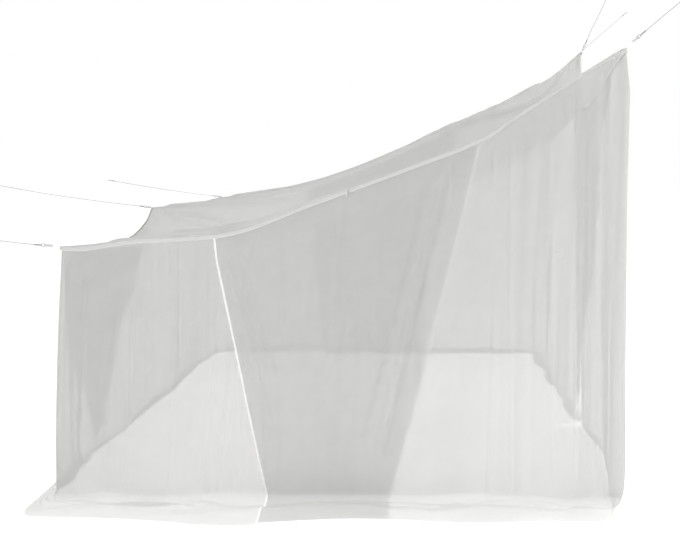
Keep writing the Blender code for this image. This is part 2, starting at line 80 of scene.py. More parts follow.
Place = namedtuple("Place", "along x y z")
TOP_EDGE = table(
    Place,
    (0.00, -1.107, -1.007, 0.987),
    (0.09, -1.014, -0.988, 0.980),
    (0.27, -0.828, -0.975, 1.005),
    (0.59, -0.512, -0.960, 1.024),
    (0.74, -0.357, -0.955, 1.059),
    (0.94, -0.164, -0.950, 1.136),
    (1.32, 0.222, -0.955, 1.279),
    (1.64, 0.542, -0.965, 1.404),
    (1.79, 0.685, -0.970, 1.499),
    (1.97, 0.870, -0.985, 1.618),
    (2.20, 1.110, -1.010, 1.768),
    (2.35, 1.088, -0.850, 1.705),
    (2.50, 1.065, -0.700, 1.612),
    (2.70, 1.053, -0.500, 1.565),
    (3.00, 1.090, -0.200, 1.620),
    (3.08, 1.114, -0.120, 1.712),
    (3.20, 1.150, 0.000, 1.905),
    (3.70, 1.160, 0.500, 1.893),
    (4.20, 1.167, 1.007, 1.888),
    (4.48, 0.823, 0.975, 1.711),
    (4.79, 0.515, 0.960, 1.574),
    (5.16, 0.138, 0.950, 1.403),
    (5.47, -0.170, 0.950, 1.279),
    (5.85, -0.547, 0.960, 1.170),
    (6.19, -0.889, 0.980, 1.105),
    (6.40, -1.077, 1.007, 1.079),
    (6.90, -1.098, 0.500, 1.066),
    (7.40, -1.142, 0.000, 1.072),
    (7.55, -1.112, -0.150, 1.010),
    (7.80, -1.086, -0.400, 0.955),
    (8.10, -1.080, -0.700, 0.962),
    (8.30, -1.094, -0.900, 0.975),
    (8.40, -1.107, -1.007, 0.987),
)
FOOT_LINE = table(
    Place,
    (0.00, -1.130, -1.000, 0.0),
    (1.10, -0.010, -0.985, 0.0),
    (2.20, 1.078, -1.000, 0.0),
    (3.20, 1.068, 0.000, 0.0),
    (4.20, 1.025, 1.000, 0.0),
    (5.30, -0.030, 0.985, 0.0),
    (6.40, -1.095, 1.000, 0.0),
    (7.40, -1.120, 0.000, 0.0),
    (8.40, -1.130, -1.000, 0.0),
)
# z is the height of the crease that the spare cloth makes before its hem.
HEM_LINE = table(
    Place,
    (0.00, -1.195, -1.125, 0.010),
    (0.35, -0.790, -1.150, 0.022),
    (0.70, -0.420, -1.195, 0.008),
    (1.15, 0.050, -1.165, 0.024),
    (1.60, 0.480, -1.190, 0.010),
    (2.00, 0.820, -1.180, 0.020),
    (2.20, 0.985, -1.195, 0.012),
    (2.60, 1.115, -0.600, 0.018),
    (3.20, 1.135, 0.000, 0.010),
    (3.80, 1.110, 0.620, 0.022),
    (4.20, 1.135, 1.130, 0.010),
    (4.90, 0.430, 1.170, 0.020),
    (5.30, -0.020, 1.190, 0.008),
    (5.90, -0.620, 1.165, 0.022),
    (6.40, -1.170, 1.140, 0.010),
    (7.00, -1.190, 0.420, 0.022),
    (7.60, -1.165, -0.220, 0.010),
    (8.10, -1.195, -0.740, 0.020),
    (8.40, -1.195, -1.125, 0.010),
)
# Broad hanging folds, as in the part.
Fold = namedtuple("Fold", "top foot width top_depth foot_depth")
FOLDS = table(
    Fold,
    (0.10, 0.20, 0.10, 0.012, -0.018),
    (0.34, 0.42, 0.16, -0.006, 0.016),
    (1.72, 1.60, 0.18, -0.004, -0.020),
    (2.04, 1.98, 0.12, 0.010, 0.022),
    (2.33, 2.36, 0.13, -0.010, -0.022),
    (2.66, 2.64, 0.19, 0.014, 0.018),
    (3.12, 3.14, 0.12, -0.020, -0.022),
    (3.32, 3.44, 0.09, 0.022, 0.026),
    (3.52, 3.62, 0.09, -0.022, -0.026),
    (3.72, 3.80, 0.09, 0.024, 0.026),
    (3.92, 3.96, 0.09, -0.020, -0.024),
    (4.40, 4.44, 0.14, -0.012, -0.018),
    (6.16, 6.12, 0.14, -0.010, -0.018),
    (6.66, 6.70, 0.16, 0.012, 0.020),
    (7.20, 7.16, 0.18, -0.010, -0.020),
    (7.66, 7.92, 0.14, 0.010, 0.018),
    (8.26, 8.10, 0.09, 0.022, 0.020),
    (8.34, 8.26, 0.07, -0.020, -0.022),
)
# Narrow pleats that run down the walls. start and end are shares of the
# wall's height.
Pleat = namedtuple("Pleat", "top foot width depth start end")
PLEATS = table(
    Pleat,
    (0.03, 0.03, 0.030, 0.007, 0.00, 1.00),
    (0.62, 0.92, 0.022, 0.006, 0.00, 0.75),
    (0.68, 0.96, 0.028, -0.006, 0.02, 0.60),
    (1.52, 1.22, 0.024, 0.007, 0.03, 0.85),
    (1.46, 1.15, 0.030, -0.007, 0.05, 0.80),
    (1.84, 1.80, 0.040, -0.007, 0.05, 1.00),
    (2.10, 2.12, 0.026, 0.010, 0.00, 1.00),
    (2.27, 2.26, 0.030, 0.015, 0.00, 1.00),
    (2.42, 2.50, 0.028, -0.012, 0.05, 1.00),
    (2.54, 2.62, 0.022, 0.013, 0.08, 1.00),
    (2.88, 2.84, 0.030, -0.015, 0.05, 1.00),
    (3.00, 2.95, 0.026, 0.015, 0.04, 1.00),
    (3.10, 3.08, 0.030, -0.018, 0.02, 1.00),
    (3.22, 3.24, 0.024, 0.021, 0.01, 1.00),
    (3.38, 3.36, 0.026, -0.021, 0.04, 1.00),
    (3.46, 3.50, 0.022, 0.015, 0.06, 0.90),
    (3.62, 3.66, 0.028, 0.018, 0.03, 1.00),
    (3.78, 3.82, 0.024, -0.018, 0.05, 1.00),
    (3.88, 3.90, 0.022, 0.018, 0.02, 0.95),
    (4.02, 4.04, 0.030, -0.015, 0.03, 1.00),
    (4.12, 4.10, 0.024, 0.015, 0.00, 1.00),
    (4.90, 5.04, 0.034, 0.007, 0.05, 0.90),
    (5.66, 5.60, 0.034, -0.007, 0.04, 0.90),
    (6.52, 6.50, 0.030, 0.012, 0.00, 1.00),
    (6.84, 6.90, 0.034, -0.012, 0.04, 1.00),
    (7.04, 7.06, 0.028, 0.012, 0.05, 0.90),
    (7.36, 7.30, 0.034, -0.012, 0.02, 1.00),
    (7.62, 8.00, 0.026, 0.013, 0.03, 1.00),
    (8.16, 8.12, 0.022, 0.018, 0.00, 1.00),
    (8.23, 8.17, 0.018, -0.018, 0.00, 0.80),
    (8.31, 8.22, 0.020, 0.018, 0.00, 1.00),
    (8.315, 8.00, 0.014, 0.013, 0.04, 1.00),
    (8.280, 7.95, 0.016, -0.012, 0.04, 1.00),
    (8.345, 8.16, 0.013, 0.010, 0.05, 1.00),
    (2.30, 2.42, 0.013, 0.016, 0.04, 1.00),
    (2.33, 2.46, 0.015, -0.014, 0.04, 1.00),
    (8.37, 8.33, 0.018, -0.015, 0.02, 0.90),
)
# Small random ripples between them: zone of the perimeter, how many, and how deep.
Zone = namedtuple("Zone", "first last count depth")
RIPPLE_ZONES = (
    Zone(0.05, 2.15, 44, 0.0024),
    Zone(2.20, 4.20, 60, 0.0052),
    Zone(4.25, 6.35, 44, 0.0028),
    Zone(6.40, 8.40, 60, 0.0048),
)
RIPPLE_WIDTHS = (0.016, 0.045)
RIPPLE_STARTS = (0.0, 0.6)
RIPPLE_LENGTHS = (0.25, 0.90)
RIPPLE_LEAN = 0.05
# Sharp creases, left from folding, that hang down the two end walls.
CREASE_ZONES = (
    Zone(2.24, 4.18, 44, 0.0055),
    Zone(6.42, 8.38, 40, 0.0050),
    Zone(0.10, 2.10, 14, 0.0030),
)
CREASE_WIDTHS = (0.009, 0.020)
CREASE_STARTS = (0.02, 0.25)
CREASE_LEAN = 0.03
CREASE_STRENGTHS = (0.5, 1.2)
PLEAT_OPENING = 0.05    # share of the height in which a pleat opens, and closes
PLEAT_CLOSING = 0.12
# Puckers that the sewn tape draws into the cloth under it.
PUCKER_COUNT = 260
PUCKER_WIDTHS = (0.010, 0.022)
PUCKER_LENGTHS = (0.04, 0.13)
PUCKER_DEPTH = 0.0013
WRINKLE_SEED = 7

Wall = namedtuple("Wall", "name start_top start_foot end_top end_foot outer")
WALLS = (
    Wall("wall_front_head", -0.86, -0.35, 1.642, 1.300, False),
    Wall("wall_front_foot", 0.588, 0.820, 3.10, 2.930, True),
    Wall("wall_rear_foot", 2.33, 2.990, 5.81, 5.670, False),
    Wall("wall_rear_head", 4.76, 5.030, 8.33, 7.980, True),
)
COLUMN_SPACING = 0.0056
WALL_ROWS = 96
FLOOR_ROWS = 26
WALL_CROWDING = 1.15    # power by which rows crowd towards the tape
FLOOR_CROWDING = 1.2    # and, on the floor, towards the turn
OUTER_HEM_WIDTH = 0.0075    # hem down each free edge of an outer piece
INNER_HEM_WIDTH = 0.0130    # and of an inner one
FOOT_HEM_WIDTH = 0.016  # hem along the bottom
EDGE_CURL = 0.005       # how far a free edge turns away
EDGE_CURL_REACH = 0.030
EDGE_CURL_OPENING = 0.10
EDGE_CURL_MEAN = 0.6    # the turn wanders round this share of itself
Wave = namedtuple("Wave", "size down across")
EDGE_WAVES = (Wave(0.4, 9.0, 3.0), Wave(0.3, 23.0, 0.0))

# Creases of the cloth on the floor: place along, share of the way to the hem, half
# length, half width as a share, height, and how much it slants.
Crease = namedtuple("Crease", "along share length width height slant")
CREASES = table(
    Crease,
    (0.06, 0.30, 0.20, 0.26, 0.016, 0.3),
    (0.42, 0.46, 0.26, 0.22, 0.018, -0.7),
    (0.56, 0.20, 0.16, 0.16, 0.012, 0.8),
    (0.86, 0.52, 0.30, 0.24, 0.014, 0.5),
    (1.06, 0.34, 0.18, 0.18, 0.018, -0.9),
    (1.20, 0.64, 0.22, 0.20, 0.016, 0.9),
    (1.38, 0.30, 0.26, 0.16, 0.012, 0.4),
    (1.66, 0.50, 0.24, 0.24, 0.016, -0.5),
    (1.92, 0.26, 0.16, 0.18, 0.016, 0.8),
    (2.08, 0.58, 0.16, 0.22, 0.018, -0.6),
    (2.44, 0.50, 0.26, 0.40, 0.012, 0.4),
    (3.30, 0.50, 0.30, 0.40, 0.014, -0.4),
    (4.02, 0.44, 0.20, 0.30, 0.016, 0.6),
    (4.60, 0.48, 0.26, 0.26, 0.016, -0.5),
    (5.24, 0.40, 0.28, 0.22, 0.014, 0.6),
    (5.86, 0.56, 0.24, 0.24, 0.016, -0.6),
    (6.30, 0.36, 0.18, 0.24, 0.016, 0.5),
    (6.86, 0.50, 0.26, 0.36, 0.012, 0.4),
    (7.50, 0.44, 0.28, 0.36, 0.014, -0.5),
    (8.06, 0.56, 0.22, 0.34, 0.014, 0.5),
)
FLOOR_RIPPLES = 90
FLOOR_RIPPLE_HEIGHT = 0.0045
FLOOR_RIPPLE_SHARES = (0.15, 0.90)
FLOOR_RIPPLE_LENGTHS = (0.05, 0.18)
FLOOR_RIPPLE_WIDTHS = (0.10, 0.24)
FLOOR_RIPPLE_SLANT = 1.2
BEND_SHARE = 0.09       # how fast the cloth turns from the wall onto the floor
CREASE_SHARE = 0.60
CREASE_REACH = 0.42
CREASE_OPENING = 0.15   # creases rise in this share after the turn
CREASE_CLOSING = 0.12   # and sink in this share before the hem
CREASE_AT_HEM = 0.25

Hollow = namedtuple("Hollow", "length width reach_length reach_width depth")
HOLLOWS = (
    Hollow(0.50, 0.50, 0.55, 0.50, 0.055),
    Hollow(0.84, 0.26, 0.26, 0.26, 0.060),
    Hollow(0.82, 0.74, 0.28, 0.26, 0.040),
    Hollow(0.16, 0.72, 0.26, 0.28, 0.020),
    Hollow(0.92, 0.50, 0.20, 0.40, 0.120),
)
ROOF_RIM = 0.08
ROOF_COLUMNS = 210
ROOF_ROWS = 190
RIDGE_TIP = 0.35        # share of its width that a ridge starts with
RIDGE_OPENING = 0.10
RIDGE_CLOSING = 0.45
RIDGE_RIM = 2.0         # ridges are whole at 1 / 2.0 of the rim
# Tension folds of the roof, from one point to another in metres of its flat rectangle.
Ridge = namedtuple("Ridge", "x1 y1 x2 y2 width height")
RIDGES = table(
    Ridge,
    (1.50, 0.045, 0.30, 0.030, 0.030, -0.040),
    (0.30, 0.075, 1.50, 0.095, 0.024, 0.024),
    (0.06, 0.04, 1.20, 0.13, 0.022, 0.020),
    (0.10, 0.03, 1.10, 0.08, 0.030, -0.010),
    (0.12, 0.05, 1.05, 0.24, 0.036, -0.014),
    (0.10, 0.06, 0.98, 0.34, 0.026, 0.014),
    (0.10, 0.07, 0.86, 0.50, 0.036, -0.012),
    (0.08, 0.08, 0.72, 0.64, 0.028, 0.014),
    (0.06, 0.10, 0.50, 0.74, 0.040, -0.010),
    (0.70, 0.13, 1.62, 0.12, 0.026, 0.014),
    (1.30, 0.05, 2.14, 0.10, 0.034, 0.014),
    (1.50, 0.16, 2.16, 0.05, 0.034, -0.014),
    (2.16, 0.04, 1.60, 0.30, 0.028, 0.016),
    (2.16, 0.06, 1.70, 0.55, 0.036, -0.014),
    (2.14, 0.93, 1.50, 0.60, 0.040, 0.014),
    (2.15, 0.97, 1.36, 0.78, 0.034, -0.012),
    (2.15, 1.00, 1.20, 1.00, 0.034, 0.020),
    (2.15, 1.03, 1.34, 1.22, 0.034, -0.012),
    (2.14, 1.07, 1.44, 1.45, 0.040, 0.014),
    (2.16, 1.96, 1.40, 1.46, 0.040, 0.016),
    (2.16, 1.95, 1.20, 1.70, 0.030, -0.014),
    (2.16, 1.97, 1.10, 1.86, 0.026, 0.014),
    (1.90, 1.90, 0.60, 1.90, 0.030, 0.010),
    (1.40, 1.84, 0.40, 1.80, 0.030, -0.010),
    (0.04, 1.00, 0.90, 0.98, 0.036, 0.018),
    (0.04, 0.98, 0.70, 0.74, 0.034, -0.012),
    (0.04, 0.97, 0.60, 0.58, 0.036, 0.012),
    (0.04, 1.03, 0.66, 1.34, 0.036, 0.012),
    (0.06, 1.95, 0.90, 1.68, 0.036, 0.014),
    (0.05, 1.92, 0.60, 1.44, 0.034, -0.012),
    (0.05, 1.90, 0.40, 1.30, 0.036, 0.010),
)

# ---- cords
CORD_ROUTES = {
    "front_head": ((-1.112, -1.012, 0.989), (-1.190, -1.028, 0.998),
                   (-1.280, -1.045, 1.011), (-1.372, -1.060, 1.027)),
    "mid_head": ((-1.150, 0.000, 1.073), (-1.420, 0.000, 1.105),
                 (-1.730, 0.000, 1.149), (-2.048, 0.000, 1.206)),
    "rear_head": ((-1.083, 1.014, 1.081), (-1.340, 1.042, 1.110),
                  (-1.620, 1.071, 1.149), (-1.906, 1.100, 1.195)),
    "front_foot": ((1.114, -1.016, 1.771), (1.178, -1.028, 1.826),
                   (1.246, -1.039, 1.884), (1.322, -1.050, 1.947)),
    "mid_foot": ((1.157, 0.000, 1.911), (1.204, 0.000, 2.021),
                 (1.258, 0.000, 2.132), (1.306, 0.000, 2.240)),
    "rear_foot": ((1.171, 1.012, 1.892), (1.340, 1.034, 2.040),
                  (1.520, 1.057, 2.197), (1.715, 1.080, 2.365)),
}
ROUTE_SAMPLES = 120
BAND_COLUMNS = 1050     # the tape round the top edge
BAND_LEVELS = 5
BAND_WAVES = 160
BAND_WAVE_REACH = (0.015, 0.06)
BAND_WAVE_HEIGHT = 0.0012
BAND_TOP_SHARE = 0.3    # share of a wave that is left at the edge itself
LOOP_LENGTH = 0.030
LOOP_THICKNESS = 0.009
LOOP_WIDTH = 0.008
LOOP_STEPS = 48
LOOP_LEVELS = 3
EYE_START = 0.022
EYE_LENGTH = 0.020
EYE_WIDTH = 0.012
KNOT_LENGTH = 0.030
KNOT_BITE = 0.004
END_LOOP_LENGTH = 0.036
END_LOOP_WIDTH = 0.018
END_KNOT_LENGTH = 0.016
KNOT_TURN_RADIUS = 0.0022   # the knot's turns run round the cord at this radius
KNOT_TURN_PITCH = 0.0033
KNOT_TURN_STEPS = 14
KNOT_TAPER = 0.25       # angle at which the turns start to draw in
KNOT_CORD_SHARE = 0.92  # the knot's cord is pulled this much thinner
KNOT_CORE_POINTS = 9
RING_STEPS = 44
GAP = 0.0003
CORD_STEP = 0.0022      # spacing of a cord's rings
CORD_SIDES = 12
TWIST_LENGTH = 0.011    # one turn of the three strands
TWIST_DEPTH = 0.16
STRANDS = 3
START_SIDE = (0.13, 0.24, 0.96)     # along no cord, so a ring's side can start from it
SPARE_LOOP_PLACE = 1.115
SPARE_LOOP_RISE = 0.004
SPARE_LOOP_CLEAR = 0.0015
INNER_LOOP_DROP = 0.048
INNER_LOOP_INSET = 0.024
INNER_LOOP_LENGTH = 0.040

# ---- camera, light, finish
CAMERA_PLACE = (0.33, -3.59, 1.30)
CAMERA_LENS = 35.52
CAMERA_SHIFT = (-0.1294, -0.1574)
CAMERA_REACH = 200.0
SENSOR = 36.0

WORLD_SEEN = 1.0        # brightness of the plain background
WORLD_LIGHT = 0.22      # brightness of the light that it gives
Skylight = namedtuple("Skylight", "name power spread shadow")
SKYLIGHTS = (
    Skylight("even_skylight", 1.75, 60.0, False),
    Skylight("soft_skylight", 1.20, 50.0, True),
)
Lamp = namedtuple("Lamp", "name place target size power")
LAMPS = (
    Lamp("right_side", (3.4, -0.3, 1.6), (1.0, 0.0, 0.9), 1.2, 60.0),
    Lamp("front", (-0.6, -4.2, 1.9), (0.0, -1.0, 0.9), 1.6, 58.0),
)
SKYLIGHT_HEIGHT = 6.0
CLEAR_LAYERS = 32       # layers of netting that one look may pass through
FLOOR_SIZE = 60.0
FLOOR_COLOUR = (0.92, 0.92, 0.92)

Finish = namedtuple("Finish", "colour roughness sheen")
# The net's grey colour is painted shade: the white threads are darkened to stand for the
# thin shadows within the open mesh. Roughness and sheen are the cloth's own.
NET_FINISH_AND_PAINTED_SHADE = Finish((0.60, 0.60, 0.59), 0.85, 0.15)
HEM_FINISH = Finish((0.96, 0.96, 0.95), 0.80, 0.20)
TAPE_FINISH = Finish((0.74, 0.74, 0.73), 0.75, 0.25)
CORD_FINISH = Finish((0.32, 0.315, 0.30), 0.70, 0.20)
CORD_TINTS = (0.82, 1.15)
SHEEN_ROUGHNESS = 0.4
CLOTH_SPECULAR = 0.3
SLANT_POWER = 0.6       # how strongly a slant closes the netting
LEAST_COSINE = 0.12
MESH_PITCH = 0.0019     # size of one hole of the netting
MESH_UNEVENNESS = 0.25
CLOUD_SCALE = 9.0       # broad patches where the netting is denser
CLOUD_DETAIL = 2.0
CLOUD_STRENGTH = 0.10
HEM_GRAIN_SCALE = 900.0
HEM_GRAIN_STRENGTH = 0.2
WEAVE_SCALE = 420.0
WEAVE_DISTORTION = 1.5
WARP_SCALE = 380.0
FIBRE_SCALE = 700.0
THREAD_EDGES = (0.10, 0.22)
HOLE_COVER = 0.38       # share of sight stopped in a hole, by threads too fine to show
THREAD_COVER = 0.84
HEM_COVER = 0.95
BACK_LIT = 0.45         # share of the light that comes through a thread from behind


# ---- lines round the net
def slope(rows, index):
    """How the line runs on at a row: one-sided where the cloth is held and kinks."""
    here = rows[index]
    last = rows[index - 1] if index > 0 and here.along not in BREAKS else here
    following = rows[index + 1] if index + 1 < len(rows) else here
    run = following.along - last.along
    return (Vector(following[1:]) - Vector(last[1:])) / run


def slope_before(rows, index):
    """The same, for the stretch that ends at the row."""
    here = rows[index]
    if here.along not in BREAKS:
        return slope(rows, index)
    last = rows[index - 1]
    return (Vector(here[1:]) - Vector(last[1:])) / (here.along - last.along)


def smooth_line(rows, along):
    """A point of a line given by rows, as a smooth curve between the held points."""
    along = along % PERIMETER
    index = max(i for i, row in enumerate(rows[:-1]) if row.along <= along)
    first = rows[index]
    second = rows[index + 1]
    run = second.along - first.along
    t = (along - first.along) / run
    rise = t * t * (3.0 - 2.0 * t)
    leave = t * (1.0 - t) ** 2 * run
    arrive = t * t * (t - 1.0) * run
    point = Vector(first[1:]) * (1.0 - rise) + Vector(second[1:]) * rise
    return point + slope(rows, index) * leave + slope_before(rows, index + 1) * arrive


def round_line(rows, along):
    """The same line with its corners rounded."""
    for corner in CORNERS:
        distance = (along - corner + PERIMETER / 2) % PERIMETER - PERIMETER / 2
        if abs(distance) < CORNER_RADIUS:
            t = (distance + CORNER_RADIUS) / (2.0 * CORNER_RADIUS)
            before = smooth_line(rows, corner - CORNER_RADIUS)
            after = smooth_line(rows, corner + CORNER_RADIUS)
            peak = smooth_line(rows, corner)
            return before * (1 - t) ** 2 + peak * 2 * t * (1 - t) + after * t * t
    return smooth_line(rows, along)


ALONG = np.linspace(0.0, PERIMETER, LINE_STEPS + 1)


def line_table(rows):
    return np.array([round_line(rows, along)[:] for along in ALONG])


TOP = line_table(TOP_EDGE)
FOOT = line_table(FOOT_LINE)
HEM = line_table(HEM_LINE)


def outward_table():
    """Level direction away from the net's inside, all the way round."""
    rows = []
    for along in ALONG:
        after = round_line(FOOT_LINE, along + OUT_STEP)
        run = after - round_line(FOOT_LINE, along - OUT_STEP)
        rows.append(Vector((run.y, -run.x, 0.0)).normalized()[:])
    return np.array(rows)


OUT = outward_table()


def at(table, along):
    """Points of a line's table at an array of places."""
    wrapped = np.mod(along, PERIMETER)
    return np.stack([np.interp(wrapped, ALONG, column) for column in table.T], axis=-1)


def distance_round(along, place):
    return np.mod(along - place + PERIMETER / 2, PERIMETER) - PERIMETER / 2


def bump(distance, reach):
    """One at its middle, zero at its reach, with no corner at either."""
    return 0.5 + 0.5 * np.cos(np.pi * np.clip(distance / reach, -1.0, 1.0))


def ease(share):
    t = np.clip(share, 0.0, 1.0)
    return t * t * (3.0 - 2.0 * t)


# ---- folds of the walls
def random_pleats():
    """Small ripples, sharp creases and puckers, the same for every piece."""
    random = np.random.default_rng(WRINKLE_SEED)
    pleats = []
    for zone in RIPPLE_ZONES:
        for _ in range(zone.count):
            place = random.uniform(zone.first, zone.last)
            width = random.uniform(*RIPPLE_WIDTHS)
            start = random.uniform(*RIPPLE_STARTS)
            end = start + random.uniform(*RIPPLE_LENGTHS)
            lean = random.normal(0.0, RIPPLE_LEAN)
            depth = random.normal(0.0, zone.depth)
            pleats.append(Pleat(place, place + lean, width, depth, start, end))
    for zone in CREASE_ZONES:
        for _ in range(zone.count):
            place = random.uniform(zone.first, zone.last)
            width = random.uniform(*CREASE_WIDTHS)
            start = random.uniform(*CREASE_STARTS)
            lean = random.normal(0.0, CREASE_LEAN)
            depth = zone.depth * random.choice((-1.0, 1.0))
            depth *= random.uniform(*CREASE_STRENGTHS)
            pleats.append(Pleat(place, place + lean, width, depth, start, 1.0))
    for _ in range(PUCKER_COUNT):
        place = random.uniform(0.0, PERIMETER)
        width = random.uniform(*PUCKER_WIDTHS)
        end = random.uniform(*PUCKER_LENGTHS)
        depth = random.normal(0.0, PUCKER_DEPTH)
        pleats.append(Pleat(place, place, width, depth, 0.0, end))
    return pleats


ALL_PLEATS = PLEATS + tuple(random_pleats())


def wall_depth(along, drop, seam):
    """How far the folds carry the cloth outwards."""
    loose = np.clip((drop - seam) / FOLDS_OPEN, 0.0, 1.0)
    depth = np.zeros_like(drop)
    for fold in FOLDS:
        place = fold.top + (fold.foot - fold.top) * drop
        height = fold.top_depth + (fold.foot_depth - fold.top_depth) * drop
        depth += height * bump(distance_round(along, place), fold.width) * loose
    below = drop - seam
    for pleat in ALL_PLEATS:
        place = pleat.top + (pleat.foot - pleat.top) * drop
        opening = ease((below - pleat.start) / PLEAT_OPENING)
        closing = ease((pleat.end - drop) / PLEAT_CLOSING + 0.5)
        shape = bump(distance_round(along, place), pleat.width)
        depth += pleat.depth * shape * (opening * closing)
    return depth


def hanging(along, drop, outer):
    """Points of a wall. drop is 0 under the top tape and 1 at the turn to the floor."""
    top = at(TOP, along)
    foot = at(FOOT, along)
    seam = SEAM_DEPTH / top[..., 2]
    free = np.maximum(0.0, drop - seam) / (1.0 - seam)
    settled = 1.0 - (1.0 - free) ** 2
    point = top + (foot - top) * settled[..., None]
    point[..., 2] = (top[..., 2] - SEAM_DROP) * (1.0 - drop) + FOOT_HEIGHT * drop
    depth = wall_depth(along, drop, seam)
    if outer:
        parted = np.clip((drop - seam) / LAYERS_OPEN, 0.0, 1.0)
        depth = depth + LAYER + (LAYER_LOOSE - LAYER) * parted
    return point + at(OUT, along) * depth[..., None]


# ---- cloth on the floor
def floor_creases():
    random = np.random.default_rng(WRINKLE_SEED + 1)
    creases = list(CREASES)
    for _ in range(FLOOR_RIPPLES):
        creases.append(Crease(
            random.uniform(0.0, PERIMETER),
            random.uniform(*FLOOR_RIPPLE_SHARES),
            random.uniform(*FLOOR_RIPPLE_LENGTHS),
            random.uniform(*FLOOR_RIPPLE_WIDTHS),
            abs(random.normal(0.0, FLOOR_RIPPLE_HEIGHT)),
            random.normal(0.0, FLOOR_RIPPLE_SLANT),
        ))
    return creases


ALL_CREASES = floor_creases()


def lying(along, share, outer):
    """Points of the cloth on the floor. share is 0 at the turn and 1 at the hem."""
    rest = CLOTH / 2.0 + (LAYER_FLOOR if outer else 0.0)
    turn = hanging(along, np.ones_like(along), outer)
    hem = at(HEM, along)
    point = turn + (hem - turn) * share[..., None]
    height = (FOOT_HEIGHT - rest) * np.exp(-share / BEND_SHARE)
    height += hem[..., 2] * bump(share - CREASE_SHARE, CREASE_REACH)
    settled = ease(share / CREASE_OPENING)
    settled *= ease((1.0 - share) / CREASE_CLOSING + CREASE_AT_HEM)
    for crease in ALL_CREASES:
        gap = distance_round(along, crease.along)
        across = bump(share - crease.share - crease.slant * gap, crease.width)
        height += crease.height * across * bump(gap, crease.length) * settled
    point[..., 2] = rest + height
    return point


# ---- making meshes
def link(name, data):
    """A new object of the scene."""
    thing = bpy.data.objects.new(name, data)
    bpy.context.scene.collection.objects.link(thing)
    return thing


def make_mesh(name, points, faces, materials, indices=None, uvs=None):
    """A mesh piece from an array of points and a list of faces."""
    mesh = bpy.data.meshes.new(name)
    mesh.from_pydata(points.tolist(), [], faces)
    for material in materials:
        mesh.materials.append(material)
    if indices is not None:
        mesh.polygons.foreach_set("material_index", indices.astype(np.int32))
    if uvs is not None:
        layer = mesh.uv_layers.new(name="UVMap")
        loops = np.empty(len(mesh.loops), dtype=np.int32)
        mesh.loops.foreach_get("vertex_index", loops)
        layer.data.foreach_set("uv", uvs[loops].astype(np.float32).ravel())
    mesh.shade_smooth()
    mesh.update()
    return link(name, mesh)


def grid_faces(columns, rows):
    """Quads of a grid whose points are stored column by column."""
    column, row = np.meshgrid(np.arange(columns - 1), np.arange(rows - 1), indexing="ij")
    first = (column * rows + row).ravel()
    return np.stack([first, first + 1, first + rows + 1, first + rows], axis=-1)


def band_faces(columns, levels):
    """Quads of a closed band whose points are stored column by column."""
    column, row = np.meshgrid(np.arange(columns), np.arange(levels - 1), indexing="ij")
    first = (column * levels + row).ravel()
    after = (((column + 1) % columns) * levels + row).ravel()
    return np.stack([first, after, after + 1, first + 1], axis=-1).tolist()


def ring_faces(rings, sides, closed):
    """Quads of a tube whose rings are stored one after another."""
    last = rings if closed else rings - 1
    ring, side = np.meshgrid(np.arange(last), np.arange(sides), indexing="ij")
    after = (ring + 1) % rings
    turned = (side + 1) % sides
    quads = (ring * sides + side, after * sides + side,
             after * sides + turned, ring * sides + turned)
    return np.stack([quad.ravel() for quad in quads], axis=-1)


def wall_shares(wall):
    """Columns of a wall piece as shares of its width, with its two edge hems."""
    width = max(wall.end_top - wall.start_top, wall.end_foot - wall.start_foot)
    hem = (OUTER_HEM_WIDTH if wall.outer else INNER_HEM_WIDTH) / width
    count = round(width / COLUMN_SPACING)
    return np.concatenate([[0.0], np.linspace(hem, 1.0 - hem, count), [1.0]])


def edge_curl(shares, width, drop):
    """A free edge turns gently away and wanders a little."""
    near = np.minimum(shares, 1.0 - shares) * width
    wander = EDGE_CURL_MEAN
    for wave in EDGE_WAVES:
        wander = wander + wave.size * np.sin(drop * wave.down + shares * wave.across)
    opening = ease(drop / EDGE_CURL_OPENING)
    return EDGE_CURL * np.exp(-near / EDGE_CURL_REACH) * wander * opening


def make_wall(wall, net, hem_cloth):
    shares = wall_shares(wall)
    drops = np.linspace(0.0, 1.0, WALL_ROWS) ** WALL_CROWDING
    share, drop = np.meshgrid(shares, drops, indexing="ij")
    start = wall.start_top + (wall.start_foot - wall.start_top) * drop
    end = wall.end_top + (wall.end_foot - wall.end_top) * drop
    along = start + (end - start) * share
    hung = hanging(along, drop, wall.outer)
    side = 1.0 if wall.outer else -1.0
    curl = edge_curl(share, end - start, drop) * side
    hung += at(OUT, along) * curl[..., None]

    reach = np.linalg.norm(at(HEM, along[:, -1]) - hung[:, -1], axis=-1).mean()
    foot_hem = 1.0 - FOOT_HEM_WIDTH / reach
    steps = np.linspace(0.0, foot_hem, FLOOR_ROWS)[1:] ** FLOOR_CROWDING
    steps = np.concatenate([steps, [1.0]])
    steps[-2] = foot_hem
    foot_along, step = np.meshgrid(along[:, -1], steps, indexing="ij")
    laid = lying(foot_along, step, wall.outer)
    laid += (hung[:, -1:] - hanging(along[:, -1:], drop[:, -1:], wall.outer)) * (
        1.0 - step[..., None])

    points = np.concatenate([hung, laid], axis=1)
    columns, rows = points.shape[:2]
    across = np.concatenate([along, foot_along], axis=1)
    runs = np.linalg.norm(np.diff(points, axis=1), axis=-1)
    down = np.concatenate([np.zeros((columns, 1)), np.cumsum(runs, axis=1)], axis=1)
    faces = grid_faces(columns, rows)
    column = faces[:, 0] // rows
    row = faces[:, 0] % rows
    is_hem = (column == 0) | (column == columns - 2) | (row == rows - 2)
    uvs = np.stack([across.ravel(), down.ravel()], axis=-1)
    thing = make_mesh(wall.name + "_net", points.reshape(-1, 3), faces.tolist(),
                      [net, hem_cloth], is_hem, uvs)
    finish_piece(thing, wall.name)


def finish_piece(thing, node):
    """Carry a piece on the body, in place of the node that it stands for."""
    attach(thing, BODY)
    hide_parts(node)


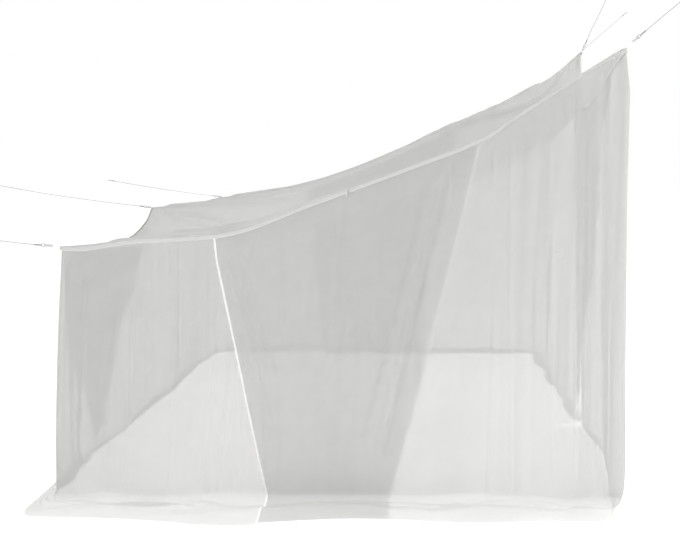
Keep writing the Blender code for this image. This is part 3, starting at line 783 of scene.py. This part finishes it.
# ---- roof
def beside_ridge(x, y, ridge):
    """Distance to a ridge's line and the share of the way along it."""
    run_x = ridge.x2 - ridge.x1
    run_y = ridge.y2 - ridge.y1
    length = math.hypot(run_x, run_y)
    share = ((x - ridge.x1) * run_x + (y - ridge.y1) * run_y) / length ** 2
    across = ((x - ridge.x1) * run_y - (y - ridge.y1) * run_x) / length
    return across, share


def roof_points(u, v):
    """A surface hung between the four edges, u along the net and v across it."""
    def rim(along):
        return at(TOP, along) - at(OUT, along) * ROOF_INSET

    def mix(a, b, share):
        return a + (b - a) * share[..., None]

    x = ROOF_LENGTH * u
    y = ROOF_WIDTH * v
    corners = [rim(np.full_like(u, corner)) for corner in CORNERS]
    front = rim(x)
    rear = rim(CORNERS[3] - x)
    head = rim(PERIMETER - y)
    foot = rim(CORNERS[1] + y)
    near = mix(corners[0], corners[1], u)
    far = mix(corners[3], corners[2], u)
    point = mix(front, rear, v) + mix(head, foot, u) - mix(near, far, v)
    rim_share = np.minimum.reduce([u, 1.0 - u, v, 1.0 - v]) / ROOF_RIM
    fade = np.clip(rim_share, 0.0, 1.0)
    for hollow in HOLLOWS:
        length = bump(u - hollow.length, hollow.reach_length)
        width = bump(v - hollow.width, hollow.reach_width)
        point[..., 2] -= hollow.depth * length * width * fade
    for ridge in RIDGES:
        across, share = beside_ridge(x, y, ridge)
        grown = RIDGE_TIP + (1.0 - RIDGE_TIP) * np.clip(share, 0.0, 1.0)
        shape = bump(across, ridge.width * grown) * ease(share / RIDGE_OPENING)
        shape *= ease((1.0 - share) / RIDGE_CLOSING)
        point[..., 2] += ridge.height * shape * ease(rim_share * RIDGE_RIM)
    return point


def make_roof(net):
    shares_u = np.linspace(0.0, 1.0, ROOF_COLUMNS + 1)
    shares_v = np.linspace(0.0, 1.0, ROOF_ROWS + 1)
    u, v = np.meshgrid(shares_u, shares_v, indexing="ij")
    points = roof_points(u, v)
    faces = grid_faces(ROOF_COLUMNS + 1, ROOF_ROWS + 1).tolist()
    uvs = np.stack([(ROOF_LENGTH * u).ravel(), (ROOF_WIDTH * v).ravel()], axis=-1)
    thing = make_mesh("roof_net", points.reshape(-1, 3), faces, [net], None, uvs)
    finish_piece(thing, "roof")


# ---- tapes
def tape_offset():
    return LAYER + CLOTH / 2.0 + TAPE_CLEAR + TAPE / 2.0


def thicken(thing, thickness):
    solid = thing.modifiers.new("thickness", "SOLIDIFY")
    solid.thickness = thickness
    solid.offset = 0.0
    solid.use_rim = True


def make_top_band(tape):
    """The woven tape round the outside of the top edge."""
    places = np.linspace(0.0, PERIMETER, BAND_COLUMNS + 1)[:-1]
    random = np.random.default_rng(WRINKLE_SEED + 2)
    out = at(OUT, places)
    edge = at(TOP, places) + out * tape_offset()
    wave = np.zeros_like(places)
    for _ in range(BAND_WAVES):
        centre = random.uniform(0.0, PERIMETER)
        reach = random.uniform(*BAND_WAVE_REACH)
        height = random.uniform(0.0, BAND_WAVE_HEIGHT)
        wave += height * bump(distance_round(places, centre), reach)
    levels = np.linspace(-(TAPE_WIDTH - TAPE_RISE), TAPE_RISE, BAND_LEVELS)
    rows = []
    for level in levels:
        loose = BAND_TOP_SHARE + (1.0 - BAND_TOP_SHARE) * abs(level) / TAPE_WIDTH
        row = edge + out * (wave * loose)[:, None]
        row[:, 2] += level
        rows.append(row)
    points = np.stack(rows, axis=1)
    faces = band_faces(BAND_COLUMNS, BAND_LEVELS)
    uvs = np.stack([np.repeat(places, BAND_LEVELS), np.tile(levels, BAND_COLUMNS)], axis=-1)
    thing = make_mesh("top_band", points.reshape(-1, 3), faces, [tape], None, uvs)
    thicken(thing, TAPE)
    finish_piece(thing, "top_tape")


def facing(location, direction, side):
    """Matrix with +X along direction and +Z as near side as can be."""
    forward = Vector(direction).normalized()
    across = Vector(side).cross(forward).normalized()
    up = forward.cross(across)
    matrix = Matrix((forward, across, up)).transposed().to_4x4()
    matrix.translation = location
    return matrix


def stadium(length, width, steps):
    """Outline of a loop from x = 0 to x = length, round at both ends, evenly spaced."""
    straight = length - width
    round_part = math.pi * width / 2.0
    total = 2.0 * (straight + round_part)
    outline = []
    for index in range(steps):
        run = total * index / steps
        if run < straight:
            x, y = width / 2.0 + run, -width / 2.0
        elif run < straight + round_part:
            angle = (run - straight) / (width / 2.0) - math.pi / 2.0
            x = length - width / 2.0 + width / 2.0 * math.cos(angle)
            y = width / 2.0 * math.sin(angle)
        elif run < 2.0 * straight + round_part:
            x, y = length - width / 2.0 - (run - straight - round_part), width / 2.0
        else:
            angle = (run - 2.0 * straight - round_part) / (width / 2.0) + math.pi / 2.0
            x = width / 2.0 + width / 2.0 * math.cos(angle)
            y = width / 2.0 * math.sin(angle)
        outline.append((x, y, 0.0))
    return np.array(outline)


def placed(points, matrix):
    """Points of a small piece carried to where it belongs."""
    turn = np.array(matrix.to_3x3())
    return points @ turn.T + np.array(matrix.translation[:])


def make_tape_loop(name, matrix, length, tape):
    """A sewn loop: a strip of tape turned back on itself."""
    outline = stadium(length - TAPE, LOOP_THICKNESS - TAPE, LOOP_STEPS)
    outline[:, 0] += TAPE / 2.0
    levels = np.linspace(-LOOP_WIDTH / 2.0, LOOP_WIDTH / 2.0, LOOP_LEVELS)
    points = np.stack([outline + (0.0, 0.0, level) for level in levels], axis=1)
    faces = band_faces(LOOP_STEPS, LOOP_LEVELS)
    runs = np.arange(LOOP_STEPS) * 2.0 * length / LOOP_STEPS
    uvs = np.stack([np.repeat(runs, LOOP_LEVELS), np.tile(levels, LOOP_STEPS)], axis=-1)
    thing = make_mesh(name + "_tape", placed(points.reshape(-1, 3), matrix), faces,
                      [tape], None, uvs)
    thicken(thing, TAPE)
    finish_piece(thing, name)


# ---- cords and knots
def route_point(route, share):
    """A point of the smooth curve through the route's own points, by share of it."""
    points = [Vector(point) for point in route]
    spans = len(points) - 1
    index = min(int(share * spans), spans - 1)
    t = share * spans - index
    a = points[index]
    b = points[index + 1]
    before = points[index - 1] if index > 0 else a * 2.0 - b
    after = points[index + 2] if index + 2 <= spans else b * 2.0 - a
    start = (b - before) / 2.0
    end = (after - a) / 2.0
    rise = t * t * (3.0 - 2.0 * t)
    bend = start * (t * (1.0 - t) ** 2) + end * (t * t * (t - 1.0))
    return a * (1.0 - rise) + b * rise + bend


def route_samples(route):
    """Fine points of the route, each with its distance from the start."""
    point = route_point(route, 0.0)
    distance = 0.0
    samples = [(distance, point)]
    for index in range(1, ROUTE_SAMPLES + 1):
        after = route_point(route, index / ROUTE_SAMPLES)
        distance += (after - point).length
        point = after
        samples.append((distance, point))
    return samples


def point_along(samples, distance):
    """The route's point at a distance from its start."""
    for (near, a), (far, b) in zip(samples, samples[1:]):
        if distance <= far:
            return a.lerp(b, (distance - near) / (far - near))
    return samples[-1][1]


def tube(points, radius, sides, twist, closed=False):
    """Rings of a laid cord along points: three strands that wind round each other."""
    count = len(points)
    ahead = np.roll(points, -1, axis=0)
    behind = np.roll(points, 1, axis=0)
    if not closed:
        ahead[-1] = points[-1]
        behind[0] = points[0]
    direction = ahead - behind
    direction /= np.linalg.norm(direction, axis=1, keepdims=True)
    side = np.cross(direction[0], START_SIDE)
    turned = []
    for forward in direction:
        side = side - forward * np.dot(side, forward)
        side /= np.linalg.norm(side)
        turned.append(side)
    across = np.array(turned)
    up = np.cross(direction, across)
    runs = np.linalg.norm(np.diff(points, axis=0), axis=1)
    travelled = np.concatenate([[0.0], np.cumsum(runs)])
    angles = np.arange(sides) * 2.0 * math.pi / sides
    wound = travelled[:, None] * STRANDS * 2.0 * math.pi / TWIST_LENGTH
    wound = angles[None, :] * STRANDS - wound
    reach = radius * (1.0 - twist + twist * np.abs(np.cos(wound / 2.0)))
    rings = (points[:, None, :]
             + across[:, None, :] * (np.cos(angles)[None, :] * reach)[..., None]
             + up[:, None, :] * (np.sin(angles)[None, :] * reach)[..., None])
    return rings.reshape(-1, 3), ring_faces(count, sides, closed)


def capped(points, faces, sides):
    """Close both ends of a tube with a fan round a middle point."""
    count = len(points)
    first = points[:sides].mean(axis=0)
    last = points[-sides:].mean(axis=0)
    index = np.arange(sides)
    turned = (index + 1) % sides
    start = np.stack([turned, index, np.full(sides, count)], axis=-1)
    end_ring = count - sides
    end = np.stack([end_ring + index, end_ring + turned, np.full(sides, count + 1)], axis=-1)
    all_points = np.concatenate([points, [first], [last]])
    return all_points, faces.tolist() + start.tolist() + end.tolist()


def joined(name, parts, material):
    """One mesh piece from several tubes."""
    faces = []
    shift = 0
    for part_points, part_faces in parts:
        faces.extend([[corner + shift for corner in face] for face in part_faces])
        shift += len(part_points)
    points = np.concatenate([part_points for part_points, _ in parts])
    return make_mesh(name, points, faces, [material])


def make_cord(name, route, first, last, cord):
    """The free cord between its knots. first and last are distances along the route."""
    samples = route_samples(route)
    count = round((last - first) / CORD_STEP) + 1
    path = [point_along(samples, first + (last - first) * i / (count - 1))
            for i in range(count)]
    points, faces = tube(np.array([p[:] for p in path]), CORD_RADIUS, CORD_SIDES,
                         TWIST_DEPTH)
    thing = joined(name + "_line", [capped(points, faces, CORD_SIDES)], cord)
    finish_piece(thing, name + "_cord")
    return thing, path


def knot_turns(start, length):
    """Turns of cord wound round the standing part, from x = start."""
    turns = length / KNOT_TURN_PITCH
    count = round(turns * KNOT_TURN_STEPS) + 1
    angle = np.linspace(0.0, turns * 2.0 * math.pi, count)
    taper = np.linspace(KNOT_TAPER, math.pi - KNOT_TAPER, count)
    reach = KNOT_TURN_RADIUS * np.sqrt(np.sin(taper))
    x = start + CORD_RADIUS + np.linspace(0.0, length - 2.0 * CORD_RADIUS, count)
    return np.stack([x, reach * np.cos(angle), reach * np.sin(angle)], axis=-1)


def make_tie(name, node, matrix, loop_length, loop_width, knot_start, knot_length, cord):
    """A loop of cord closed by a wound knot."""
    ring = stadium(loop_length - 2 * CORD_RADIUS, loop_width - 2 * CORD_RADIUS, RING_STEPS)
    ring[:, 0] += CORD_RADIUS
    ring_points, ring_quads = tube(ring, CORD_RADIUS, CORD_SIDES, TWIST_DEPTH, True)
    turns, turn_quads = tube(knot_turns(knot_start, knot_length),
                             CORD_RADIUS * KNOT_CORD_SHARE, CORD_SIDES, 0.0)
    turns, turn_faces = capped(turns, turn_quads, CORD_SIDES)
    core = np.zeros((KNOT_CORE_POINTS, 3))
    core[:, 0] = np.linspace(knot_start, knot_start + knot_length, KNOT_CORE_POINTS)
    core_points, core_quads = tube(core, CORD_RADIUS, CORD_SIDES, 0.0)
    core_points, core_faces = capped(core_points, core_quads, CORD_SIDES)
    parts = [
        (placed(ring_points, matrix), ring_quads.tolist()),
        (placed(turns, matrix), turn_faces),
        (placed(core_points, matrix), core_faces),
    ]
    thing = joined(name, parts, cord)
    finish_piece(thing, node)
    return thing


def make_hanging(name, route, tape, cord):
    """Everything at one hanging point: sewn loop, tied eye, cord and far loop."""
    samples = route_samples(route)
    start = samples[0][1]
    tied = EYE_START + EYE_LENGTH - KNOT_BITE + KNOT_LENGTH
    pull = point_along(samples, tied) - start
    side = Vector((-pull.y, pull.x, 0.0))
    flat = facing(start, pull, (0.0, 0.0, 1.0))
    upright = facing(start + pull.normalized() * EYE_START, pull, side)
    make_tape_loop(name + "_loop", flat, LOOP_LENGTH, tape)
    eye = make_tie(name + "_knot", name + "_eye", upright, EYE_LENGTH, EYE_WIDTH,
                   EYE_LENGTH - KNOT_BITE, KNOT_LENGTH, cord)
    whole, end = samples[-1]
    released = END_LOOP_LENGTH - KNOT_BITE + END_KNOT_LENGTH
    first = tied + 2 * GAP
    last = whole - released - 2 * GAP
    line, path = make_cord(name, route, first, last, cord)
    back = point_along(samples, whole - released) - end
    far = facing(end, back, (0.0, 0.0, 1.0))
    hook = make_tie(name + "_far_loop", name + "_end_loop", far, END_LOOP_LENGTH,
                    END_LOOP_WIDTH, END_LOOP_LENGTH - KNOT_BITE, END_KNOT_LENGTH, cord)


def make_spare_loop(tape):
    """The unused loop at the middle of the front edge, lying down over the tape."""
    out = Vector(at(OUT, SPARE_LOOP_PLACE))
    edge = Vector(at(TOP, SPARE_LOOP_PLACE)) + Vector((0.0, 0.0, SPARE_LOOP_RISE))
    reach = tape_offset() + TAPE / 2.0 + SPARE_LOOP_CLEAR
    location = edge + out * (reach + LOOP_THICKNESS / 2.0)
    matrix = facing(location, (0.0, 0.0, -1.0), out.cross(Vector((0.0, 0.0, 1.0))))
    make_tape_loop("spare_loop", matrix, LOOP_LENGTH, tape)


def make_inner_loop(name, along, tape):
    """A loop hanging inside the net under a mid hanging point."""
    out = Vector(at(OUT, along))
    location = Vector(at(TOP, along)) - out * INNER_LOOP_INSET
    location.z -= INNER_LOOP_DROP
    matrix = facing(location, (0.0, 0.0, -1.0), out)
    make_tape_loop(name, matrix, INNER_LOOP_LENGTH, tape)


# ---- materials
class Nodes:
    """Short ways to add and join a material's nodes."""

    def __init__(self, name):
        self.material = bpy.data.materials.new(name)
        self.material.use_nodes = True
        self.tree = self.material.node_tree
        self.tree.nodes.clear()
        self.output = self.tree.nodes.new("ShaderNodeOutputMaterial")

    def add(self, kind, **settings):
        node = self.tree.nodes.new(kind)
        for key, value in settings.items():
            setattr(node, key, value)
        return node

    def join(self, source, target):
        self.tree.links.new(source, target)

    def math(self, operation, first, second=None, clamp=False):
        node = self.add("ShaderNodeMath", operation=operation, use_clamp=clamp)
        for index, value in enumerate((first, second)):
            if value is None:
                continue
            if isinstance(value, (int, float)):
                node.inputs[index].default_value = value
            else:
                self.join(value, node.inputs[index])
        return node.outputs[0]


def cloth_shader(nodes, finish):
    """Threads that scatter light back and let some of it through."""
    front = nodes.add("ShaderNodeBsdfPrincipled")
    front.inputs["Base Color"].default_value = (*finish.colour, 1.0)
    front.inputs["Roughness"].default_value = finish.roughness
    front.inputs["Sheen Weight"].default_value = finish.sheen
    front.inputs["Sheen Roughness"].default_value = SHEEN_ROUGHNESS
    front.inputs["Specular IOR Level"].default_value = CLOTH_SPECULAR
    behind = nodes.add("ShaderNodeBsdfTranslucent")
    behind.inputs["Color"].default_value = (*finish.colour, 1.0)
    both = nodes.add("ShaderNodeMixShader")
    both.inputs[0].default_value = BACK_LIT
    nodes.join(front.outputs[0], both.inputs[1])
    nodes.join(behind.outputs[0], both.inputs[2])
    return both.outputs[0], front


def raise_relief(nodes, front, height, strength, distance):
    """Fine unevenness of a surface."""
    relief = nodes.add("ShaderNodeBump")
    relief.inputs["Strength"].default_value = strength
    relief.inputs["Distance"].default_value = distance
    nodes.join(height, relief.inputs["Height"])
    nodes.join(relief.outputs[0], front.inputs["Normal"])


def see_through(nodes, cover, surface):
    """Let sight through by the share that the threads leave open, less at a slant."""
    weight = nodes.add("ShaderNodeLayerWeight")
    weight.inputs["Blend"].default_value = 0.5
    cosine = nodes.math("SUBTRACT", 1.0, weight.outputs["Facing"])
    cosine = nodes.math("MAXIMUM", cosine, LEAST_COSINE)
    path = nodes.math("POWER", cosine, -SLANT_POWER)
    open_share = nodes.math("SUBTRACT", 1.0, cover)
    left = nodes.math("POWER", open_share, path)
    stopped = nodes.math("SUBTRACT", 1.0, left, clamp=True)
    clear = nodes.add("ShaderNodeBsdfTransparent")
    mixed = nodes.add("ShaderNodeMixShader")
    nodes.join(stopped, mixed.inputs[0])
    nodes.join(clear.outputs[0], mixed.inputs[1])
    nodes.join(surface, mixed.inputs[2])
    nodes.join(mixed.outputs[0], nodes.output.inputs["Surface"])


def net_material():
    nodes = Nodes("net_cloth")
    # the net's grey colour is painted shade of the open mesh
    surface, _ = cloth_shader(nodes, NET_FINISH_AND_PAINTED_SHADE)
    place = nodes.add("ShaderNodeTexCoord")
    scaled = nodes.add("ShaderNodeMapping")
    scaled.inputs["Scale"].default_value = (1.0 / MESH_PITCH,) * 3
    nodes.join(place.outputs["UV"], scaled.inputs["Vector"])
    holes = nodes.add("ShaderNodeTexVoronoi", feature="DISTANCE_TO_EDGE",
                      voronoi_dimensions="2D")
    holes.inputs["Scale"].default_value = 1.0
    holes.inputs["Randomness"].default_value = MESH_UNEVENNESS
    nodes.join(scaled.outputs[0], holes.inputs["Vector"])
    threads = nodes.add("ShaderNodeMapRange", interpolation_type="SMOOTHSTEP")
    threads.inputs["From Min"].default_value = THREAD_EDGES[0]
    threads.inputs["From Max"].default_value = THREAD_EDGES[1]
    threads.inputs["To Min"].default_value = THREAD_COVER
    threads.inputs["To Max"].default_value = HOLE_COVER
    nodes.join(holes.outputs["Distance"], threads.inputs["Value"])
    cloud = nodes.add("ShaderNodeTexNoise", noise_dimensions="2D")
    cloud.inputs["Scale"].default_value = CLOUD_SCALE
    cloud.inputs["Detail"].default_value = CLOUD_DETAIL
    nodes.join(place.outputs["UV"], cloud.inputs["Vector"])
    centred = nodes.math("SUBTRACT", cloud.outputs["Fac"], 0.5)
    uneven = nodes.math("MULTIPLY", centred, CLOUD_STRENGTH)
    cover = nodes.math("ADD", threads.outputs["Result"], uneven, clamp=True)
    see_through(nodes, cover, surface)
    return nodes.material


def hem_material():
    nodes = Nodes("hem_cloth")
    surface, front = cloth_shader(nodes, HEM_FINISH)
    place = nodes.add("ShaderNodeTexCoord")
    grain = nodes.add("ShaderNodeTexNoise", noise_dimensions="2D")
    grain.inputs["Scale"].default_value = HEM_GRAIN_SCALE
    nodes.join(place.outputs["UV"], grain.inputs["Vector"])
    raise_relief(nodes, front, grain.outputs["Fac"], 0.3, 0.0004)
    centred = nodes.math("SUBTRACT", grain.outputs["Fac"], 0.5)
    uneven = nodes.math("MULTIPLY", centred, HEM_GRAIN_STRENGTH)
    cover = nodes.math("ADD", uneven, HEM_COVER, clamp=True)
    see_through(nodes, cover, surface)
    return nodes.material


def tape_material():
    """Plain-woven tape: fine threads that cross."""
    nodes = Nodes("woven_tape")
    surface, front = cloth_shader(nodes, TAPE_FINISH)
    place = nodes.add("ShaderNodeTexCoord")
    weave = nodes.add("ShaderNodeTexWave", wave_type="BANDS", bands_direction="X")
    weave.inputs["Scale"].default_value = WEAVE_SCALE
    weave.inputs["Distortion"].default_value = WEAVE_DISTORTION
    nodes.join(place.outputs["UV"], weave.inputs["Vector"])
    threads = nodes.add("ShaderNodeTexWave", wave_type="BANDS", bands_direction="Y")
    threads.inputs["Scale"].default_value = WARP_SCALE
    nodes.join(place.outputs["UV"], threads.inputs["Vector"])
    height = nodes.math("MULTIPLY", weave.outputs["Fac"], threads.outputs["Fac"])
    raise_relief(nodes, front, height, 0.5, 0.0003)
    nodes.join(surface, nodes.output.inputs["Surface"])
    return nodes.material


def cord_material():
    nodes = Nodes("laid_cord")
    front = nodes.add("ShaderNodeBsdfPrincipled")
    front.inputs["Roughness"].default_value = CORD_FINISH.roughness
    front.inputs["Sheen Weight"].default_value = CORD_FINISH.sheen
    place = nodes.add("ShaderNodeTexCoord")
    fibres = nodes.add("ShaderNodeTexNoise")
    fibres.inputs["Scale"].default_value = FIBRE_SCALE
    nodes.join(place.outputs["Object"], fibres.inputs["Vector"])
    tint = nodes.add("ShaderNodeMix", data_type="RGBA")
    for index, share in zip((6, 7), CORD_TINTS):
        tint.inputs[index].default_value = (*[c * share for c in CORD_FINISH.colour], 1.0)
    nodes.join(fibres.outputs["Fac"], tint.inputs[0])
    nodes.join(tint.outputs[2], front.inputs["Base Color"])
    raise_relief(nodes, front, fibres.outputs["Fac"], 0.3, 0.0003)
    nodes.join(front.outputs[0], nodes.output.inputs["Surface"])
    return nodes.material


# ---- camera, floor, light
def make_camera():
    data = bpy.data.cameras.new("camera")
    data.lens = CAMERA_LENS
    data.sensor_width = SENSOR
    data.shift_x, data.shift_y = CAMERA_SHIFT
    data.clip_end = CAMERA_REACH
    camera = link("camera", data)
    camera.location = CAMERA_PLACE
    camera.rotation_euler = (math.pi / 2.0, 0.0, 0.0)
    bpy.context.scene.camera = camera


def make_floor():
    half = FLOOR_SIZE / 2.0
    corners = np.array([(-half, -half, 0.0), (half, -half, 0.0),
                        (half, half, 0.0), (-half, half, 0.0)])
    nodes = Nodes("studio_floor")
    shader = nodes.add("ShaderNodeBsdfPrincipled")
    shader.inputs["Base Color"].default_value = (*FLOOR_COLOUR, 1.0)
    shader.inputs["Roughness"].default_value = 0.95
    shader.inputs["Specular IOR Level"].default_value = 0.0
    nodes.join(shader.outputs[0], nodes.output.inputs["Surface"])
    floor = make_mesh("studio_floor", corners, [(0, 1, 2, 3)], [nodes.material])


def make_world():
    world = bpy.data.worlds.new("studio")
    bpy.context.scene.world = world
    world.use_nodes = True
    tree = world.node_tree
    tree.nodes.clear()
    output = tree.nodes.new("ShaderNodeOutputWorld")
    given = tree.nodes.new("ShaderNodeBackground")
    given.inputs["Strength"].default_value = WORLD_LIGHT
    seen = tree.nodes.new("ShaderNodeBackground")
    seen.inputs["Strength"].default_value = WORLD_SEEN
    for background in (given, seen):
        background.inputs["Color"].default_value = (1.0, 1.0, 1.0, 1.0)
    rays = tree.nodes.new("ShaderNodeLightPath")
    mixed = tree.nodes.new("ShaderNodeMixShader")
    tree.links.new(rays.outputs["Is Camera Ray"], mixed.inputs[0])
    tree.links.new(given.outputs[0], mixed.inputs[1])
    tree.links.new(seen.outputs[0], mixed.inputs[2])
    tree.links.new(mixed.outputs[0], output.inputs["Surface"])


def make_skylights():
    """Light from straight above, part of it without the net's own shadow."""
    for sky in SKYLIGHTS:
        data = bpy.data.lights.new(sky.name, "SUN")
        data.energy = sky.power
        data.angle = math.radians(sky.spread)
        data.use_shadow = sky.shadow
        link(sky.name, data).location = (0.0, 0.0, SKYLIGHT_HEIGHT)


def make_lamps():
    for lamp in LAMPS:
        data = bpy.data.lights.new(lamp.name, "AREA")
        data.shape = "SQUARE"
        data.size = lamp.size
        data.energy = lamp.power
        light = link(lamp.name, data)
        light.location = lamp.place
        aim = Vector(lamp.target) - Vector(lamp.place)
        light.rotation_euler = aim.to_track_quat("-Z", "Y").to_euler()
        light.visible_camera = False


def build():
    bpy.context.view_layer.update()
    make_camera()
    net = net_material()
    hem_cloth = hem_material()
    tape = tape_material()
    cord = cord_material()
    for name, route in CORD_ROUTES.items():
        make_hanging(name, route, tape, cord)
    make_top_band(tape)
    make_roof(net)
    for wall in WALLS:
        make_wall(wall, net, hem_cloth)
    make_spare_loop(tape)
    make_inner_loop("inner_loop_foot", MID_POINTS[0], tape)
    make_inner_loop("inner_loop_head", MID_POINTS[1], tape)
    make_floor()
    make_world()
    make_skylights()
    make_lamps()
    scene = bpy.context.scene
    scene.view_settings.view_transform = "Standard"
    scene.cycles.transparent_max_bounces = CLEAR_LAYERS
    bpy.context.view_layer.update()


build()
